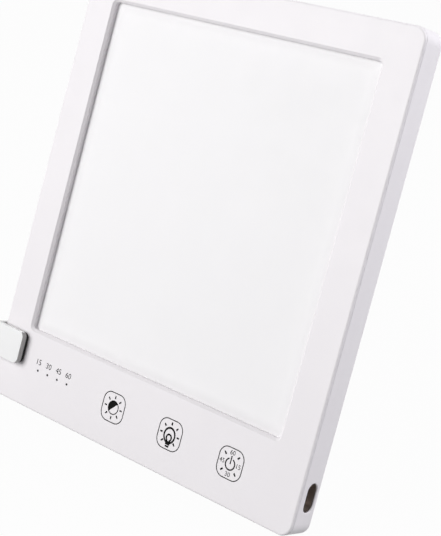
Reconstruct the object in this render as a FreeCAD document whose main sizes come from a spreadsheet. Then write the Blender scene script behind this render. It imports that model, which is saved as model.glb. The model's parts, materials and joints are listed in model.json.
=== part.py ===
import FreeCAD, Part
import os
import re

import Sketcher

# Light therapy lamp: a flat light panel that leans back on its lower edge. A claw wraps the
# panel's left edge and carries a swing arm with a hinged foot, which props the panel from behind.
# +X is the panel's right, its lit face looks to -Y, +Z is up. The origin lies on the surface it
# stands on, at the middle of the grip strip under the panel. Millimetres and degrees.

os.makedirs("parts", exist_ok=True)
doc = FreeCAD.newDocument("light_therapy_lamp")

# ---------------------------------------------------------------- driving dimensions
sheet = doc.addObject("Spreadsheet::Sheet", "sizes")
sizes = {
    # panel: it is as wide, tall and thick as its window, chin and insides make it
    "panel_corner": 6.0,
    "lean": 22.6,
    # case: two shells that meet in a shadow seam close behind the face
    "case_wall": 2.0,
    "case_floor": 1.4,
    "face_thick": 1.05,
    "face_step": 1.15,
    "shell_gap": 0.2,
    "front_round": 1.0,
    "back_round": 1.2,
    "seam_tall": 0.2,
    "seam_deep": 0.5,
    # window in the face, with a bevelled lip
    "window_width": 149.8,
    "window_tall": 157.1,
    "window_corner": 2.0,
    "top_margin": 16.5,
    "side_gap": 2.05,
    "chin_gap": 2.1,
    "lip_depth": 3.0,
    "lip_bevel_wide": 1.15,
    "lip_bevel_deep": 1.1,
    # optical stack behind the window
    "stack_overlap": 3.0,
    "diffuser_thick": 1.5,
    "film_thick": 0.3,
    "guide_thick": 3.0,
    "reflector_thick": 0.3,
    "tray_thick": 0.8,
    # light strips on both sides of the light guide
    "chip_gap": 0.3,
    "chip_deep": 1.2,
    "chip_long": 3.0,
    "chip_wide": 2.4,
    "chip_end": 8.15,
    "chip_count": 24,
    "strip_thick": 1.0,
    "strip_wide": 4.2,
    "strip_short": 1.0,
    # case screws from the back
    "screw_inset": 5.0,
    "screw_low": 6.3,
    "boss_radius": 2.75,
    "cover_boss_radius": 3.75,
    "cover_boss_tall": 2.0,
    "pilot_clear": 0.05,
    "pilot_spare": 0.3,
    "shank_clear": 0.2,
    "case_shank_radius": 1.25,
    "case_shank_long": 7.5,
    "case_head_radius": 2.3,
    "case_head_tall": 1.5,
    "head_clear": 0.3,
    "head_sunk": 0.4,
    # cross recess of every screw, as shares of its head
    "recess_reach": 1.3,
    "recess_slim": 0.28,
    "recess_share": 0.55,
    # control board in the chin
    "board_clear": 0.75,
    "board_low": 4.0,
    "board_tall": 27.0,
    "board_thick": 1.0,
    "board_tab_wide": 11.2,
    "post_inset": 10.2,
    "post_radius": 2.4,
    "post_edge": 4.0,
    "post_shank_radius": 0.9,
    "post_shank_long": 3.2,
    "post_head_radius": 1.9,
    "post_head_tall": 1.2,
    # touch pads and the timer dots
    "touch_y": 18.25,
    "touch_inset": 37.1,
    "touch_pitch": 34.5,
    "spring_radius": 3.6,
    "spring_wire": 0.3,
    "spring_turns": 3,
    "spring_clear": 0.02,
    "dot_inset": 27.7,
    "dot_pitch": 6.53,
    "dot_y": 18.6,
    "dot_radius": 0.52,
    "dot_clear": 0.05,
    "pipe_bar_tall": 3.0,
    "pipe_bar_thick": 0.8,
    "pipe_bar_end": 1.0,
    "pipe_gap": 0.2,
    "timer_led_wide": 1.6,
    "timer_led_deep": 0.8,
    "timer_led_tall": 0.6,
    # charging port in the right side
    "port_gap": 0.25,
    "port_z": 5.73,
    "port_long": 12.5,
    "port_wide": 6.3,
    "port_ease": 0.5,
    "usb_long": 8.94,
    "usb_tall": 3.26,
    "usb_wall": 0.3,
    "usb_deep": 7.35,
    "usb_sunk": 0.2,
    "tongue_wide": 6.69,
    "tongue_thick": 0.7,
    "tongue_sunk": 0.8,
    "tongue_base_deep": 1.5,
    "tongue_clear": 0.02,
    "recess_deep": 3.8,
    "collar_lap": 0.55,
    "collar_floor": 1.2,
    "collar_wall": 0.2,
    "collar_sunk": 0.6,
    "collar_fit": 0.03,
    "collar_clear": 0.1,
    "collar_corner": 1.0,
    "tab_clear": 0.2,
    # parts on the back of the board
    "part_pitch": 18.0,
    "can_inset": 26.0,
    "chip_side": 8.0,
    "chip_tall": 1.2,
    "coil_side": 7.0,
    "coil_tall": 3.0,
    "can_radius": 3.1,
    "can_tall": 3.8,
    "plug_long": 6.0,
    "plug_wide": 3.0,
    "plug_tall": 2.4,
    "lead_thick": 0.3,
    "lead_wide": 1.5,
    "lead_lap": 4.0,
    "lead_lift": 0.1,
    # pads between tray and cover, strip under the panel
    "foam_long": 20.0,
    "foam_wide": 10.0,
    "foam_thick": 3.2,
    "foam_inset": 18.7,
    "grip_inset": 17.0,
    "grip_back": 2.0,
    "grip_wide": 4.0,
    "grip_deep": 0.8,
    "grip_proud": 0.9,
    "grip_clear": 0.1,
    # claw round the left edge
    "claw_low": 18.0,
    "claw_tall": 15.4,
    "claw_reach": 16.8,
    "claw_thick": 2.5,
    "claw_corner": 2.8,
    "claw_bend": 2.0,
    "claw_bend_inner": 0.5,
    "claw_edge": 0.4,
    "front_pad_thick": 1.45,
    "side_pad_thick": 1.3,
    "back_pad_thick": 1.2,
    "pad_inset": 0.5,
    "stand_gap": 7.0,
    "stand_gap_far": 8.0,
    "bracket_screw_edge": 5.0,
    "bracket_screw_end": 6.0,
    "bracket_shank_radius": 1.45,
    "bracket_shank_end": 4.8,
    "bracket_head_tall": 1.4,
    "bracket_boss_radius": 3.0,
    "bracket_boss_end": 5.4,
    # hinge between claw and arm
    "ear_wide": 7.0,
    "ear_radius": 5.0,
    "ear_gap": 0.2,
    "barrel_clear": 0.4,
    "barrel_half": 23.0,
    "washer_gap": 1.0,
    "washer_thick": 0.8,
    "washer_rim": 1.8,
    "pin_radius": 2.0,
    "pin_clear": 0.04,
    "pin_head_tall": 1.8,
    "pin_head_rim": 1.6,
    "pin_thread_end": 0.8,
    "washer_clear": 0.05,
    "spring_washer": 0.5,
    "nut_tall": 2.4,
    "nut_rim": 1.8,
    "nut_clear": 0.02,
    # swing arm
    "arm_length": 92.0,
    "arm_thick": 3.0,
    "arm_flange_wide": 3.0,
    "arm_flange_tall": 7.0,
    # foot and its hinge
    "foot_ear_radius": 4.0,
    "foot_gap": 0.5,
    "foot_pin_radius": 1.5,
    "foot_side": 7.0,
    "foot_deep": 24.0,
    "foot_corner": 6.0,
    "foot_thick": 2.5,
    "foot_edge": 0.6,
    "foot_pad_inset": 8.0,
    "foot_pad_wide": 6.0,
    "foot_pad_thick": 1.5,
    "foot_pad_edge": 5.0,
}
for row, (name, number) in enumerate(sizes.items(), start=1):
    sheet.set(f"A{row}", name)
    sheet.set(f"B{row}", str(number))
    sheet.setAlias(f"B{row}", name)

ALIAS = re.compile(r"\b(" + "|".join(sizes) + r")\b")


def formula(text):
    """Points each alias in an expression at the sheet."""
    return ALIAS.sub(r"sizes.\1", str(text))


def value(text):
    """Works an expression out now, as a plain number."""
    result = sheet.evalExpression(str(text))
    return float(getattr(result, "Value", result))


def bind(item, path, text):
    """Ties one property of an object to the sheet."""
    item.setExpression(path, formula(text))


doc.recompute()

# ---------------------------------------------------------------- levels and places
# The panel is modelled lying on its back: x to its right, y up its face, z out of the face,
# with z = 0 at its back. Names in capitals are expressions over the sheet.
TRAY_BACK = "(case_floor + foam_thick)"
REFLECTOR_BACK = f"({TRAY_BACK} + tray_thick)"
GUIDE_BACK = f"({REFLECTOR_BACK} + reflector_thick)"
FILM_BACK = f"({GUIDE_BACK} + guide_thick)"
DIFFUSER_BACK = f"({FILM_BACK} + film_thick)"
DIFFUSER_FRONT = f"({DIFFUSER_BACK} + diffuser_thick)"
PANEL_THICK = f"({DIFFUSER_FRONT} + lip_depth)"
RIM_BACK = f"({PANEL_THICK} - face_thick)"
FACE_BACK = f"({RIM_BACK} - face_step)"
CHIN = "(board_low + board_tall + chin_gap + stack_overlap)"
WINDOW_Y = f"({CHIN} + window_tall / 2)"
PANEL_HEIGHT = f"({CHIN} + window_tall + top_margin)"
STACK_WIDTH = "(window_width + 2 * stack_overlap)"
STACK_TALL = "(window_tall + 2 * stack_overlap)"
CHIP_X = f"({STACK_WIDTH} / 2 + chip_gap)"
STRIP_X = f"({CHIP_X} + chip_deep)"
FLANGE_X = f"({STRIP_X} + strip_thick)"
STRIP_TALL = f"({STACK_TALL} - 2 * strip_short)"
CHIP_PITCH = f"(({STRIP_TALL} - 2 * chip_end) / (chip_count - 1))"
SCREW_X = f"({FLANGE_X} + tray_thick + side_gap + cover_boss_radius)"
HALF_WIDTH = f"({SCREW_X} + screw_inset)"
PANEL_WIDTH = f"(2 * {HALF_WIDTH})"
SCREW_HIGH = f"({PANEL_HEIGHT} - screw_low)"
COVER_BOSS_TOP = "(case_floor + cover_boss_tall)"
HEAD_SEAT = "(head_sunk + case_head_tall)"
BOARD_BACK = "(port_z + usb_tall / 2)"
BOARD_FRONT = f"({BOARD_BACK} + board_thick)"
BOARD_Y = "(board_low + board_tall / 2)"
BOARD_HALF = f"({SCREW_X} - boss_radius - board_clear)"
POST_X = f"({STRIP_X} - post_inset)"
POST_LOW = "(board_low + post_edge)"
POST_HIGH = "(board_low + board_tall - post_edge)"
WALL_X = f"({HALF_WIDTH} - case_wall)"
COLLAR_LONG = "(port_long + 2 * collar_lap)"
PORT_Y = f"(screw_low + cover_boss_radius + port_gap + {COLLAR_LONG} / 2)"
COLLAR_OUT_X = f"({HALF_WIDTH} - collar_sunk)"
RECESS_X = f"({COLLAR_OUT_X} - recess_deep)"
COLLAR_X = f"({RECESS_X} - collar_floor)"
USB_MOUTH_X = f"({RECESS_X} - usb_sunk)"
CAN_X = f"({POST_X} - can_inset)"
COIL_X = f"({CAN_X} - part_pitch)"
DRIVER_X = f"({COIL_X} - part_pitch)"
FOAM_X = f"({STACK_WIDTH} / 2 - foam_inset)"
FOAM_Y = f"({STACK_TALL} / 2 - foam_inset)"
GRIP_LONG = f"({PANEL_WIDTH} - 2 * grip_inset)"
DOT_FIRST_X = f"(dot_inset - {HALF_WIDTH})"
DOT_MID_X = f"({DOT_FIRST_X} + 1.5 * dot_pitch)"
TOUCH_LAST_X = f"({HALF_WIDTH} - touch_inset)"
PIPE_BACK = f"({FACE_BACK} - pipe_bar_thick)"
CLAW_Y = "(claw_low + claw_tall / 2)"
JAW_BACK = f"({PANEL_THICK} + front_pad_thick)"
JAW_FRONT = f"({JAW_BACK} + claw_thick)"
JAW_END_X = f"(claw_reach - {HALF_WIDTH})"
CLAW_IN_X = f"(-{HALF_WIDTH} - side_pad_thick)"
CLAW_OUT_X = f"({CLAW_IN_X} - claw_thick)"
PLATE_BACK = "(-back_pad_thick - claw_thick)"
HINGE_Y_LOCAL = CLAW_Y
EAR_REACH = "(ear_radius + ear_gap)"
HINGE_Z_LOCAL = f"({PLATE_BACK} - {EAR_REACH})"
EAR_IN = "(barrel_half + washer_gap)"
EAR_OUT = f"({EAR_IN} + ear_wide)"
BRACKET_SCREW_LEFT = f"(bracket_screw_edge - {HALF_WIDTH})"
STAND_X = f"({BRACKET_SCREW_LEFT} + stand_gap + {EAR_OUT})"
BRACKET_SCREW_RIGHT = f"({STAND_X} + {EAR_OUT} + stand_gap_far)"
BRACKET_SCREW_XS = (BRACKET_SCREW_LEFT, BRACKET_SCREW_RIGHT)
PLATE_END_X = f"({BRACKET_SCREW_RIGHT} + bracket_screw_end)"

# The panel leans back about its grip strip, whose middle is the origin.
GRIP_MID_Z = "(grip_back + grip_wide / 2)"
GRIP_DROP = "(grip_proud + grip_wide / 2 * tan(lean))"
SHIFT_Y = f"({GRIP_DROP} * sin(lean) + {GRIP_MID_Z} * cos(lean))"
SHIFT_Z = f"({GRIP_DROP} * cos(lean) - {GRIP_MID_Z} * sin(lean))"
HINGE_Y = f"({HINGE_Y_LOCAL} * sin(lean) - {HINGE_Z_LOCAL} * cos(lean) + {SHIFT_Y})"
HINGE_Z = f"({HINGE_Y_LOCAL} * cos(lean) + {HINGE_Z_LOCAL} * sin(lean) + {SHIFT_Z})"
FOOT_RISE = "(foot_ear_radius + foot_gap)"
FOOT_AXIS_Z = f"(foot_pad_thick + foot_thick + {FOOT_RISE})"
FOOT_WIDTH = f"(2 * ({EAR_OUT} + foot_side))"
ARM_DROP = f"({HINGE_Z} - {FOOT_AXIS_Z})"
FOOT_AXIS_Y = f"({HINGE_Y} + sqrt(arm_length * arm_length - {ARM_DROP} * {ARM_DROP}))"

nodes = []
X_AXIS = FreeCAD.Vector(1, 0, 0)


def keep(item, label):
    """Marks an object as a sub-part: its label names the file."""
    item.Label = label
    nodes.append(item)
    return item


def seat(item, x, y, z, turn):
    """Places an object by expressions, turned about X."""
    item.Placement = FreeCAD.Placement(FreeCAD.Vector(), FreeCAD.Rotation(X_AXIS, 1.0))
    bind(item, "Placement.Base.x", x)
    bind(item, "Placement.Base.y", y)
    bind(item, "Placement.Base.z", z)
    bind(item, "Placement.Rotation.Angle", turn)


def on_panel(item, label):
    seat(item, "0", SHIFT_Y, SHIFT_Z, "90 - lean")
    return keep(item, label)


def on_arm(item, label):
    seat(item, STAND_X, HINGE_Y, HINGE_Z, f"-asin({ARM_DROP} / arm_length)")
    return keep(item, label)


def on_foot(item, label):
    item.Placement = FreeCAD.Placement()
    bind(item, "Placement.Base.x", STAND_X)
    bind(item, "Placement.Base.y", FOOT_AXIS_Y)
    bind(item, "Placement.Base.z", FOOT_AXIS_Z)
    return keep(item, label)


# ---------------------------------------------------------------- sketches and features
def new_body(name):
    body = doc.addObject("PartDesign::Body", name + "_body")
    body.AllowCompound = True
    return body


def new_sketch(body, role, x="0", y="0", z="0"):
    """A sketch on one of the body's own planes; x and y are in the plane, z is along its normal."""
    sketch = body.newObject("Sketcher::SketchObject", body.Name + "_sketch")
    plane = [item for item in body.Origin.OriginFeatures if item.Role == role][0]
    sketch.AttachmentSupport = [(plane, "")]
    sketch.MapMode = "FlatFace"
    bind(sketch, "AttachmentOffset.Base.x", x)
    bind(sketch, "AttachmentOffset.Base.y", y)
    bind(sketch, "AttachmentOffset.Base.z", z)
    return sketch


def tie(sketch, kind, name, text, *where):
    """Adds a dimension to a sketch and binds it."""
    index = sketch.addConstraint(Sketcher.Constraint(kind, *where, value(text)))
    sketch.renameConstraint(index, name)
    bind(sketch, "Constraints." + name, text)


def draw_circle(sketch, radius, x="0", y="0"):
    centre = FreeCAD.Vector(value(x), value(y), 0)
    curve = sketch.addGeometry(Part.Circle(centre, FreeCAD.Vector(0, 0, 1), value(radius)))
    label = "circle" + str(curve)
    tie(sketch, "DistanceX", label + "_x", x, -1, 1, curve, 3)
    tie(sketch, "DistanceY", label + "_y", y, -1, 1, curve, 3)
    tie(sketch, "Radius", label + "_radius", radius, curve)


def draw_polygon(sketch, corners):
    """A closed outline through corners given as pairs of expressions."""
    spots = [FreeCAD.Vector(value(x), value(y), 0) for x, y in corners]
    lines = []
    for index, spot in enumerate(spots):
        following = spots[(index + 1) % len(spots)]
        lines.append(sketch.addGeometry(Part.LineSegment(spot, following)))
    for index, line in enumerate(lines):
        following = lines[(index + 1) % len(lines)]
        sketch.addConstraint(Sketcher.Constraint("Coincident", line, 2, following, 1))
    for line, (x, y) in zip(lines, corners):
        tie(sketch, "DistanceX", f"corner{line}_x", x, -1, 1, line, 1)
        tie(sketch, "DistanceY", f"corner{line}_y", y, -1, 1, line, 1)


def draw_rectangle(sketch, x_low, x_high, y_low, y_high):
    draw_polygon(sketch, [(x_low, y_low), (x_high, y_low), (x_high, y_high), (x_low, y_high)])


def draw_rounded(sketch, wide, tall, radius):
    """A rounded rectangle centred on the sketch's origin."""
    half_w = value(wide) / 2
    half_t = value(tall) / 2
    round_r = value(radius)
    lines = []
    arcs = []
    ends = [(-half_w, -half_t), (half_w, -half_t), (half_w, half_t), (-half_w, half_t)]
    for index, (x0, y0) in enumerate(ends):
        x1, y1 = ends[(index + 1) % 4]
        step_x = round_r * ((x1 > x0) - (x1 < x0))
        step_y = round_r * ((y1 > y0) - (y1 < y0))
        first = FreeCAD.Vector(x0 + step_x, y0 + step_y, 0)
        last = FreeCAD.Vector(x1 - step_x, y1 - step_y, 0)
        lines.append(sketch.addGeometry(Part.LineSegment(first, last)))
    for index, (x0, y0) in enumerate(ends):
        centre = FreeCAD.Vector(x0 - round_r * (1 if x0 > 0 else -1), y0 - round_r * (1 if y0 > 0 else -1), 0)
        circle = Part.Circle(centre, FreeCAD.Vector(0, 0, 1), round_r)
        start = FreeCAD.Units.Quantity(180 + 90 * index, "deg").getValueAs("rad").Value
        quarter = FreeCAD.Units.Quantity(90, "deg").getValueAs("rad").Value
        arcs.append(sketch.addGeometry(Part.ArcOfCircle(circle, start, start + quarter)))
    for index in range(4):
        sketch.addConstraint(Sketcher.Constraint("Tangent", arcs[index], 2, lines[index], 1))
        sketch.addConstraint(Sketcher.Constraint("Tangent", lines[index], 2, arcs[(index + 1) % 4], 1))
    sketch.addConstraint(Sketcher.Constraint("Horizontal", lines[0]))
    sketch.addConstraint(Sketcher.Constraint("Horizontal", lines[2]))
    sketch.addConstraint(Sketcher.Constraint("Vertical", lines[1]))
    sketch.addConstraint(Sketcher.Constraint("Vertical", lines[3]))
    for index in range(3):
        sketch.addConstraint(Sketcher.Constraint("Equal", arcs[0], arcs[index + 1]))
    label = "outline" + str(lines[0])
    sketch.addConstraint(Sketcher.Constraint("Symmetric", lines[3], 1, lines[1], 1, -1, 1))
    tie(sketch, "DistanceX", label + "_wide", wide, lines[3], 1, lines[1], 1)
    tie(sketch, "DistanceY", label + "_tall", tall, lines[0], 1, lines[2], 1)
    tie(sketch, "Radius", label + "_radius", radius, arcs[0])


def draw_slot(sketch, long, wide):
    """A slot with round ends along the sketch's x, centred on its origin."""
    r = value(wide) / 2
    half = value(long) / 2 - r
    quarter = FreeCAD.Units.Quantity(90, "deg").getValueAs("rad").Value
    lines = []
    arcs = []
    for side in (-1, 1):
        first = FreeCAD.Vector(side * half, side * r, 0)
        last = FreeCAD.Vector(-side * half, side * r, 0)
        lines.append(sketch.addGeometry(Part.LineSegment(first, last)))
        circle = Part.Circle(FreeCAD.Vector(-side * half, 0, 0), FreeCAD.Vector(0, 0, 1), r)
        start = side * quarter
        arcs.append(sketch.addGeometry(Part.ArcOfCircle(circle, start, start + 2 * quarter)))
    for index in range(2):
        sketch.addConstraint(Sketcher.Constraint("Tangent", lines[index], 2, arcs[index], 1))
        sketch.addConstraint(Sketcher.Constraint("Tangent", arcs[index], 2, lines[1 - index], 1))
        sketch.addConstraint(Sketcher.Constraint("Horizontal", lines[index]))
    sketch.addConstraint(Sketcher.Constraint("Symmetric", arcs[0], 3, arcs[1], 3, -1, 1))
    label = "slot" + str(lines[0])
    tie(sketch, "DistanceX", label + "_long", f"({long}) - ({wide})", arcs[1], 3, arcs[0], 3)
    tie(sketch, "Radius", label + "_radius", f"({wide}) / 2", arcs[0])


def pad(body, sketch, length, backwards=False):
    feature = body.newObject("PartDesign::Pad", body.Name + "_pad")
    feature.Profile = sketch
    feature.Reversed = backwards
    bind(feature, "Length", length)
    doc.recompute()
    return feature


def pocket(body, sketch, length, backwards=False):
    """Cuts a sketch away against its normal, and insists that the solid shrank."""
    before = body.Shape.Volume
    feature = body.newObject("PartDesign::Pocket", body.Name + "_pocket")
    feature.Profile = sketch
    feature.Reversed = backwards
    bind(feature, "Length", length)
    doc.recompute()
    if round(before - body.Shape.Volume, 3) <= 0:
        raise RuntimeError(feature.Name + " cuts nothing")
    return feature


def edge_names(shape, test):
    return [f"Edge{index + 1}" for index, edge in enumerate(shape.Edges) if test(edge.BoundBox)]


def near(first, second):
    """The same length, to a thousandth of a millimetre."""
    return round(first - second, 3) == 0


def flat_at(box, z):
    """An edge that lies at one height."""
    return near(box.ZMin, z) and near(box.ZMax, z)


def upright_at(box, x):
    """An edge along z, at x."""
    return near(box.XMin, x) and near(box.XMax, x) and near(box.YLength, 0)


def dress(body, kind, radius, test):
    """Fillets or chamfers the edges that pass the test."""
    base = body.Tip
    feature = body.newObject("PartDesign::" + kind, body.Name + "_" + kind.lower())
    feature.Base = (base, edge_names(base.Shape, test))
    bind(feature, "Radius" if kind == "Fillet" else "Size", radius)
    doc.recompute()
    return feature


# ---------------------------------------------------------------- primitives
def block(name, wide, deep, tall, x, y, z):
    """A box centred on x and y, standing on z."""
    item = doc.addObject("Part::Box", name)
    bind(item, "Length", wide)
    bind(item, "Width", deep)
    bind(item, "Height", tall)
    bind(item, "Placement.Base.x", f"({x}) - ({wide}) / 2")
    bind(item, "Placement.Base.y", f"({y}) - ({deep}) / 2")
    bind(item, "Placement.Base.z", z)
    return item


def peg(name, radius, tall, x, y, z):
    """A cylinder along z, standing on z."""
    item = doc.addObject("Part::Cylinder", name)
    bind(item, "Radius", radius)
    bind(item, "Height", tall)
    bind(item, "Placement.Base.x", x)
    bind(item, "Placement.Base.y", y)
    bind(item, "Placement.Base.z", z)
    return item


def turn_to_x(item, x, y, z):
    """Lays an object's own z along +X, from x."""
    item.Placement = FreeCAD.Placement(FreeCAD.Vector(), FreeCAD.Rotation(FreeCAD.Vector(0, 1, 0), 90))
    bind(item, "Placement.Base.x", x)
    bind(item, "Placement.Base.y", y)
    bind(item, "Placement.Base.z", z)
    return item


def rod(name, radius, long, x, y, z):
    """A cylinder along x, from x."""
    item = doc.addObject("Part::Cylinder", name)
    bind(item, "Radius", radius)
    bind(item, "Height", long)
    return turn_to_x(item, x, y, z)


def fuse(name, *items):
    item = doc.addObject("Part::MultiFuse", name)
    item.Shapes = list(items)
    return item


def cut(name, base, tool):
    item = doc.addObject("Part::Cut", name)
    item.Base = base
    item.Tool = tool
    return item


def group(name, *items):
    """Separate solids that share one node."""
    item = doc.addObject("Part::Compound", name)
    item.Links = list(items)
    return item


def cross_screw(name, head_radius, head_tall, shank_radius, shank_long, x, y, seat_z):
    """A pan-head screw that points to +z, with a cross recess in its head."""
    head = peg(name + "_head", head_radius, head_tall, x, y, f"({seat_z}) - ({head_tall})")
    shank = peg(name + "_shank", shank_radius, shank_long, x, y, seat_z)
    solid = fuse(name + "_solid", head, shank)
    low = f"({seat_z}) - ({head_tall})"
    long = f"recess_reach * ({head_radius})"
    slim = f"recess_slim * ({head_radius})"
    deep = f"recess_share * ({head_tall})"
    slot_a = block(name + "_slot_a", long, slim, deep, x, y, low)
    slot_b = block(name + "_slot_b", slim, long, deep, x, y, low)
    return cut(name, solid, fuse(name + "_cross", slot_a, slot_b))


# ---------------------------------------------------------------- front bezel
CASE_SCREW_SPOTS = []
for side in ("-", ""):
    for spot_y in ("screw_low", WINDOW_Y, SCREW_HIGH):
        CASE_SCREW_SPOTS.append((f"({side}{SCREW_X})", spot_y))
POST_SPOTS = []
for side in ("-", ""):
    for spot_y in (POST_LOW, POST_HIGH):
        POST_SPOTS.append((f"({side}{POST_X})", spot_y))
DOT_XS = [f"({DOT_FIRST_X} + {index} * dot_pitch)" for index in range(4)]
TOUCH_XS = [f"({TOUCH_LAST_X} - {index} * touch_pitch)" for index in (2, 1, 0)]


def make_front_bezel():
    body = new_body("front_bezel")
    face = new_sketch(body, "XY_Plane", "0", f"{PANEL_HEIGHT} / 2", RIM_BACK)
    draw_rounded(face, PANEL_WIDTH, PANEL_HEIGHT, "panel_corner")
    pad(body, face, "face_thick")
    inner = "2 * (case_wall + shell_gap)"
    step = new_sketch(body, "XY_Plane", "0", f"{PANEL_HEIGHT} / 2", FACE_BACK)
    step_corner = "panel_corner - case_wall - shell_gap"
    draw_rounded(step, f"{PANEL_WIDTH} - {inner}", f"{PANEL_HEIGHT} - {inner}", step_corner)
    pad(body, step, "face_step + face_thick / 2")
    rim = new_sketch(body, "XY_Plane", "0", WINDOW_Y, DIFFUSER_FRONT)
    draw_rounded(rim, STACK_WIDTH, STACK_TALL, "window_corner + stack_overlap")
    pad(body, rim, "lip_depth - face_thick / 2")
    bosses = new_sketch(body, "XY_Plane", "0", "0", COVER_BOSS_TOP)
    for x, y in CASE_SCREW_SPOTS:
        draw_circle(bosses, "boss_radius", x, y)
    pad(body, bosses, f"{RIM_BACK} - {COVER_BOSS_TOP}")
    posts = new_sketch(body, "XY_Plane", "0", "0", BOARD_FRONT)
    for x, y in POST_SPOTS:
        draw_circle(posts, "post_radius", x, y)
    pad(body, posts, f"{RIM_BACK} - {BOARD_FRONT}")
    dress(body, "Fillet", "front_round", lambda box: flat_at(box, value(PANEL_THICK)))
    window = new_sketch(body, "XY_Plane", "0", WINDOW_Y, PANEL_THICK)
    draw_rounded(window, "window_width", "window_tall", "window_corner")
    pocket(body, window, "2 * lip_depth")
    base = body.Tip
    bevel = body.newObject("PartDesign::Chamfer", "front_bezel_lip")
    reach = value("window_width / 2")
    top = value(PANEL_THICK)
    middle = value(WINDOW_Y)
    up = value("window_tall / 2")

    def on_window(box):
        across = max(-box.XMin, box.XMax)
        along = max(middle - box.YMin, box.YMax - middle)
        return flat_at(box, top) and round(across - reach, 3) <= 0 and round(along - up, 3) <= 0

    bevel.Base = (base, edge_names(base.Shape, on_window))
    bevel.ChamferType = "Two distances"
    bind(bevel, "Size", "lip_bevel_wide")
    bind(bevel, "Size2", "lip_bevel_deep")
    doc.recompute()
    pilots = new_sketch(body, "XY_Plane", "0", "0", COVER_BOSS_TOP)
    for x, y in CASE_SCREW_SPOTS:
        draw_circle(pilots, "case_shank_radius + pilot_clear", x, y)
    pocket(body, pilots, f"{HEAD_SEAT} + case_shank_long + pilot_spare - {COVER_BOSS_TOP}", backwards=True)
    holes = new_sketch(body, "XY_Plane", "0", "0", BOARD_FRONT)
    for x, y in POST_SPOTS:
        draw_circle(holes, "post_shank_radius + pilot_clear", x, y)
    pocket(body, holes, "post_shank_long - board_thick + pilot_spare", backwards=True)
    dots = new_sketch(body, "XY_Plane", "0", "dot_y", PANEL_THICK)
    for x in DOT_XS:
        draw_circle(dots, "dot_radius + dot_clear", x)
    pocket(body, dots, "2 * (face_thick + face_step)")
    return on_panel(body, "front_bezel")


make_front_bezel()


# ---------------------------------------------------------------- back cover
def at_port_mouth(box):
    """Whether an edge belongs to the slot where it opens on the case's side."""
    outside = near(box.XMin, value(HALF_WIDTH)) and near(box.XMax, value(HALF_WIDTH))
    return outside and box.YLength < value("port_long")


def make_back_cover():
    body = new_body("back_cover")
    shell = new_sketch(body, "XY_Plane", "0", f"{PANEL_HEIGHT} / 2", "0")
    draw_rounded(shell, PANEL_WIDTH, PANEL_HEIGHT, "panel_corner")
    pad(body, shell, RIM_BACK)
    dress(body, "Fillet", "back_round", lambda box: near(box.ZMax, 0))
    hollow = new_sketch(body, "XY_Plane", "0", f"{PANEL_HEIGHT} / 2", RIM_BACK)
    inside = "2 * case_wall"
    hollow_corner = "panel_corner - case_wall"
    draw_rounded(hollow, f"{PANEL_WIDTH} - {inside}", f"{PANEL_HEIGHT} - {inside}", hollow_corner)
    pocket(body, hollow, f"{RIM_BACK} - case_floor")
    seam = new_sketch(body, "XY_Plane", "0", f"{PANEL_HEIGHT} / 2", RIM_BACK)
    past = "2 * case_wall"
    draw_rounded(seam, f"{PANEL_WIDTH} + {past}", f"{PANEL_HEIGHT} + {past}", "panel_corner + case_wall")
    sunk = "2 * seam_deep"
    draw_rounded(seam, f"{PANEL_WIDTH} - {sunk}", f"{PANEL_HEIGHT} - {sunk}", "panel_corner - seam_deep")
    pocket(body, seam, "seam_tall")
    bosses = new_sketch(body, "XY_Plane", "0", "0", "case_floor / 2")
    for x, y in CASE_SCREW_SPOTS:
        draw_circle(bosses, "cover_boss_radius", x, y)
    pad(body, bosses, f"{COVER_BOSS_TOP} - case_floor / 2")
    studs = new_sketch(body, "XY_Plane", "0", "0", "case_floor / 2")
    for x in BRACKET_SCREW_XS:
        draw_circle(studs, "bracket_boss_radius", x, CLAW_Y)
    pad(body, studs, "bracket_boss_end - case_floor / 2")
    heads = new_sketch(body, "XY_Plane", "0", "0", "0")
    for x, y in CASE_SCREW_SPOTS:
        draw_circle(heads, "case_head_radius + head_clear", x, y)
    pocket(body, heads, HEAD_SEAT, backwards=True)
    shanks = new_sketch(body, "XY_Plane", "0", "0", "0")
    for x, y in CASE_SCREW_SPOTS:
        draw_circle(shanks, "case_shank_radius + shank_clear", x, y)
    pocket(body, shanks, f"2 * {COVER_BOSS_TOP}", backwards=True)
    threads = new_sketch(body, "XY_Plane", "0", "0", "0")
    for x in BRACKET_SCREW_XS:
        draw_circle(threads, "bracket_shank_radius + pilot_clear", x, CLAW_Y)
    pocket(body, threads, "bracket_shank_end + pilot_spare", backwards=True)
    port = new_sketch(body, "YZ_Plane", PORT_Y, "port_z", HALF_WIDTH)
    draw_slot(port, "port_long", "port_wide")
    pocket(body, port, "case_wall")
    dress(body, "Fillet", "port_ease", at_port_mouth)
    groove = new_sketch(body, "YZ_Plane", "0", "0", f"-{GRIP_LONG} / 2")
    draw_rectangle(groove, "-grip_deep", "grip_deep", "grip_back", "grip_back + grip_wide")
    pocket(body, groove, GRIP_LONG, backwards=True)
    return on_panel(body, "back_cover")


make_back_cover()


# ---------------------------------------------------------------- optical stack
def make_sheet(label, back, thick):
    item = block(label + "_block", STACK_WIDTH, STACK_TALL, thick, "0", WINDOW_Y, back)
    return on_panel(group(label + "_group", item), label)


make_sheet("diffuser_sheet", DIFFUSER_BACK, "diffuser_thick")
make_sheet("prism_film", FILM_BACK, "film_thick")
make_sheet("light_guide_plate", GUIDE_BACK, "guide_thick")
make_sheet("reflector_sheet", REFLECTOR_BACK, "reflector_thick")


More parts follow.
